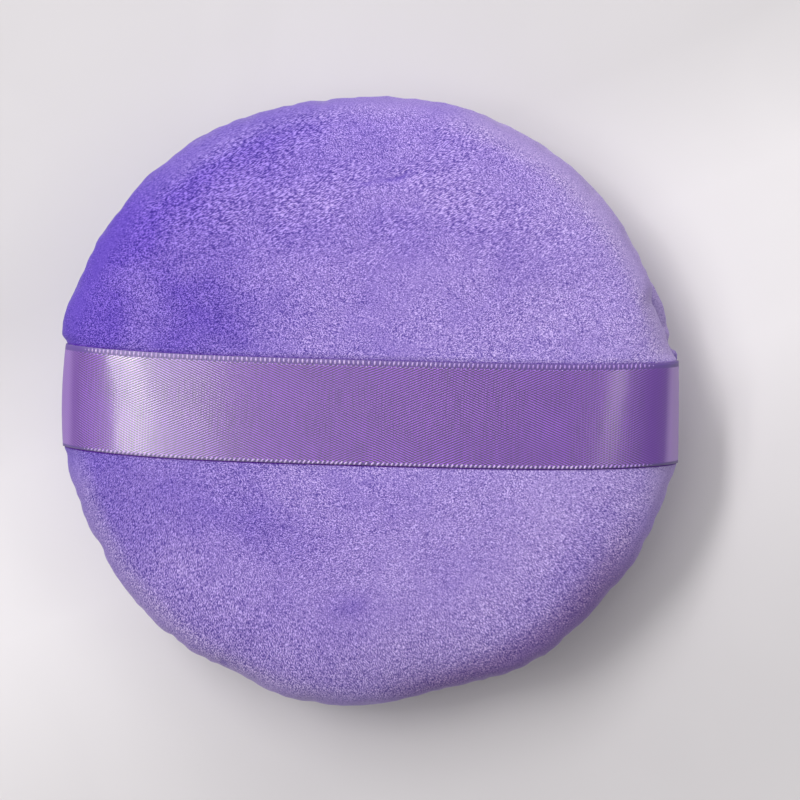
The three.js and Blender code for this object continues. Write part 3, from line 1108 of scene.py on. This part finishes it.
def satinMaterial():
    material, tree, shader = newMaterial("satin")
    uv = node(tree, "UVMap", uv_map="along").outputs[0]
    across = axesOf(tree, uv)[1]
    x = axesOf(tree, objectPlace(tree))[0]
    turned = between(tree, x, satin["weaveEnds"][2:])
    bound, yarn = satinWeave(tree, uv, x, turned)
    colour = ramp(tree, yarn, [(0.0, satin["colour"]), (satin["shadeAt"], satin["shade"])])
    # painted shade where the ribbon turns down at the right
    colour = mixColour(tree, turned, colour, satin["turnedShade"], "MULTIPLY")
    # painted sheen where the ribbon folds over the rim at either end, half as strong at the left
    folded = times(tree, between(tree, maths(tree, "ABSOLUTE", x), satin["foldEnds"]),
                   between(tree, x, (-1, 1), satin["leftFold"], 1.0))
    colour = mixColour(tree, folded, colour, satin["foldSheen"])
    # the ground under the selvedge loops is darker
    soft = satin["edgeSoft"]
    near, far = satin["edgeWidths"]
    far = 2 * ribbonHalf / mm - far
    border = larger(tree, fromTo(tree, across, near + soft, near - soft),
                    fromTo(tree, across, far - soft, far + soft))
    # the floats lie a few degrees out of the ribbon's own plane
    lean = bumpOf(tree, (1.0, math.tan(math.radians(satin["floatLean"])) / mm), times(tree, x, -1))
    covered = larger(tree, bound, border)
    setShader(tree, shader, {
        "Base Color": mixColour(tree, border, colour, satin["edge"]),
        "Normal": bumpOf(tree, satin["bump"], maths(tree, "SUBTRACT", 1, bound), lean),
        "Tangent": node(tree, "Tangent", direction_type="UV_MAP", uv_map="along").outputs[0],
        "Roughness": fromTo(tree, covered, *satin["roughFrom"], *satin["roughness"]),
        "Anisotropic": satin["anisotropy"],
        "Anisotropic Rotation": satin["quarterTurn"],
        "IOR": satin["ior"],
        "Specular IOR Level": satin["specular"],
        "Specular Tint": satin["specularTint"],
        "Coat Weight": satin["coat"],
        "Coat Roughness": satin["coatRoughness"],
    })
    return material


# plain yarns: the selvedge loops, whose pale colour is a painted highlight, and the sewing thread
yarns = {
    "selvedge_yarn": {"colour": (0.72, 0.56, 0.88), "shade": (0.42, 0.27, 0.62), "size": 0.09,
                      "roughness": 0.25, "specular": 0.9},
    "thread": {"colour": (0.235, 0.155, 0.50), "shade": (0.12, 0.075, 0.33), "size": 0.16,
               "roughness": 0.5, "specular": 0.4},
    "turn": 35,
    "waveScale": 0.314,
    "bump": (0.5, 0.04),
}

# the loops' pale colour is a painted highlight, which turns duller on the far edge from the middle on, and
# on the near edge only at its end; some loops are duller at random
dimLoops = {
    "colour": (0.33, 0.19, 0.58),
    "far": (-12, 30),
    "near": (36, 44),
    "most": 0.85,
    "farSide": (-3, 3),
    "some": (0.45, 0.6, 0.0, 0.35),
    "someSize": (0.7, 0.7, 0.7),
}


def loopDimness(tree, where):
    x, y, _ = axesOf(tree, where)
    far = times(tree, between(tree, x, dimLoops["far"], 0.0, dimLoops["most"]),
                between(tree, y, dimLoops["farSide"]))
    near = between(tree, x, dimLoops["near"], 0.0, dimLoops["most"])
    some = fromTo(tree, tufts(tree, where, dimLoops["someSize"]), *dimLoops["some"])
    return larger(tree, larger(tree, far, near), some)


def yarnMaterial(name):
    look = yarns[name]
    material, tree, shader = newMaterial(name)
    where = objectPlace(tree)
    place = cells(tree, where, (look["size"],) * 3, yarns["turn"])
    waves = {"Vector": place, "Scale": yarns["waveScale"], "Distortion": 1.5, "Detail": 1.0}
    fibres = node(tree, "TexWave", waves).outputs[1]
    colour = ramp(tree, fibres, [(0.1, look["shade"]), (0.7, look["colour"])])
    # the painted highlight on the loops dulls where it fades
    if name == "selvedge_yarn":
        colour = mixColour(tree, loopDimness(tree, where), colour, dimLoops["colour"])
    setShader(tree, shader, {
        "Base Color": colour,
        "Normal": bumpOf(tree, yarns["bump"], fibres),
        "Roughness": look["roughness"],
        "Specular IOR Level": look["specular"],
    })
    return material


# fillings: an open-celled sponge and loose fibre
fillings = {
    "sponge": {"colour": (0.90, 0.85, 0.70), "shade": (0.62, 0.55, 0.38), "size": 0.9},
    "wadding": {"colour": (0.93, 0.92, 0.90), "shade": (0.72, 0.71, 0.69), "size": 0.7},
    "poreEdge": (0.1, 0.6),
    "fibreLength": 3,
    "bump": (0.7, 0.4),
    "roughness": 0.95,
    "specular": 0.15,
}


def fillingMaterial(name):
    look = fillings[name]
    material, tree, shader = newMaterial(name)
    where, size = objectPlace(tree), look["size"]
    if name == "sponge":
        pores = {"Vector": cells(tree, where, (size,) * 3), "Scale": 1.0}
        pores = node(tree, "TexVoronoi", pores, feature="SMOOTH_F1").outputs["Distance"]
        height = fromTo(tree, pores, *fillings["poreEdge"])
    else:
        place = cells(tree, where, (fillings["fibreLength"] * size, size, size))
        height = noiseOf(tree, place, Detail=5.0, Roughness=0.7, Distortion=2.5)
    setShader(tree, shader, {
        "Base Color": ramp(tree, height, [(0.25, look["shade"]), (0.65, look["colour"])]),
        "Normal": bumpOf(tree, fillings["bump"], height),
        "Roughness": fillings["roughness"],
        "Specular IOR Level": fillings["specular"],
    })
    return material


velourLook, satinLook = velourMaterial(), satinMaterial()
selvedgeLook, threadLook = yarnMaterial("selvedge_yarn"), yarnMaterial("thread")
spongeLook, waddingLook = fillingMaterial("sponge"), fillingMaterial("wadding")
dressed = [
    (topCover, "top_cover", velourLook, "velour"),
    (bottomCover, "bottom_cover", velourLook, "velour"),
    (ribbonPiece, "ribbon_strap", satinLook, "satin"),
    (farSelvedge, None, selvedgeLook, "satin"),
    (nearSelvedge, None, selvedgeLook, "satin"),
    (foamBlock, "foam_core", spongeLook, "sponge"),
    (topFibre, "top_wadding", waddingLook, "wadding"),
    (bottomFibre, "bottom_wadding", waddingLook, "wadding"),
    (overlock, "overlock_thread", threadLook, "thread"),
    (closing, "closing_thread", threadLook, "thread"),
]
strapPieces = [ribbonPiece, farSelvedge, nearSelvedge]

# what each piece stands for, rides on and takes its finish from
for piece, nodeName, look, slotName in dressed:
    piece.data.materials.append(look)
    if nodeName:
        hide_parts(nodeName)
    if piece not in strapPieces:
        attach(piece, "pad")
for piece in strapPieces:
    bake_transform(piece)
print("pieces", len(dressed))

# table, light and background
table = {
    "size": 8.0,
    "colour": (0.735, 0.706, 0.72),
    "glow": (0.3, 1.6),  # the far part of the table glows a little, so that it doesn't end in the dark
    "glowColour": (0.4, 0.39, 0.395),
    # painted shade on the table: darker towards the near right and the far left, lighter across the middle
    "fall": (-90, 90),
    "fallWay": (0.4, -0.9, 0),
    "tones": ((0, 0.87), (0.2, 0.87), (0.4, 1.05), (0.63, 1.07), (0.83, 0.93), (1.0, 0.81)),
    "mottle": (33, 33, 33),
    "paler": 1.03,
    "roughness": 0.7,
    "specular": 0.1,
}


def buildTable():
    bpy.ops.mesh.primitive_plane_add(size=table["size"], location=(0, 0, 0))
    top = bpy.context.object
    top.name = "table_top"
    look, tree, shader = newMaterial("table_top")
    where = objectPlace(tree)
    mottle = tufts(tree, where, table["mottle"], detail=2.0)
    paler = tuple(table["paler"] * c for c in table["colour"])
    colour = ramp(tree, mottle, [(0.3, table["colour"]), (0.7, paler)])
    # painted shade across the table
    along = between(tree, vectorMaths(tree, "DOT_PRODUCT", where, table["fallWay"]), table["fall"])
    shade = ramp(tree, along, [(at, (tone,) * 3) for at, tone in table["tones"]])
    away = fromTo(tree, vectorMaths(tree, "LENGTH", where), *table["glow"])
    setShader(tree, shader, {
        "Base Color": mixColour(tree, 1.0, colour, shade, "MULTIPLY"),
        "Emission Color": mixColour(tree, away, (0, 0, 0), table["glowColour"]),
        "Emission Strength": 1.0,
        "Roughness": table["roughness"],
        "Specular IOR Level": table["specular"],
    })
    top.data.materials.append(look)


light = {
    "window": {"power": 8.8, "size": (0.15, 0.8), "away": 1.4, "lean": 36.5, "heading": 137},
    "pane": {"power": 2.9, "size": (0.1, 0.7), "away": 1.4, "lean": 36.5, "heading": 165},
    "ceiling": {"power": 4.7, "size": (0.7, 1.2), "away": 1.6, "lean": 21, "heading": 170},
    "door": {"power": 1.2, "size": (0.12, 0.8), "away": 1.4, "lean": 43, "heading": 8},
    "room": {"power": 17.4, "size": (2.3, 1.8), "away": 3.0, "lean": 60, "heading": 95},
    "sky": (0.06, 0.70),
    "skyWay": (-0.1, 0.97, 0),
    "backdrop": 0.85,
}


def buildLamp(name):
    lamp = light[name]
    data = bpy.data.lights.new(name, "AREA")
    data.energy = lamp["power"]
    data.shape = "RECTANGLE"
    data.size, data.size_y = lamp["size"]
    obj = link(name, data)
    lean, heading = math.radians(lamp["lean"]), math.radians(lamp["heading"])
    back = Vector((math.sin(lean) * math.cos(heading), math.sin(lean) * math.sin(heading), math.cos(lean)))
    side = Vector((0, 1, 0)).cross(back).normalized()
    stand(obj, back * lamp["away"], side, back.cross(side), back)


def buildSky():
    world = bpy.data.worlds.new("sky")
    world.use_nodes = True
    tree = world.node_tree
    background = tree.nodes["Background"]
    # brighter towards the far right of the room
    way = node(tree, "TexCoord").outputs["Generated"]
    along = vectorMaths(tree, "DOT_PRODUCT", way, light["skyWay"])
    low, high = light["sky"]
    glow = {"Value": along, "From Min": -1.0, "To Min": low, "To Max": high}
    glow = node(tree, "MapRange", glow).outputs[0]
    seen = node(tree, "LightPath").outputs["Is Camera Ray"]
    setSocket(tree, background.inputs["Color"], (1, 1, 1))
    setSocket(tree, background.inputs["Strength"], blend(tree, seen, glow, light["backdrop"]))
    bpy.context.scene.world = world


buildTable()
for lampName in ("window", "pane", "ceiling", "door", "room"):
    buildLamp(lampName)
buildSky()
bpy.context.scene.view_settings.view_transform = "Standard"
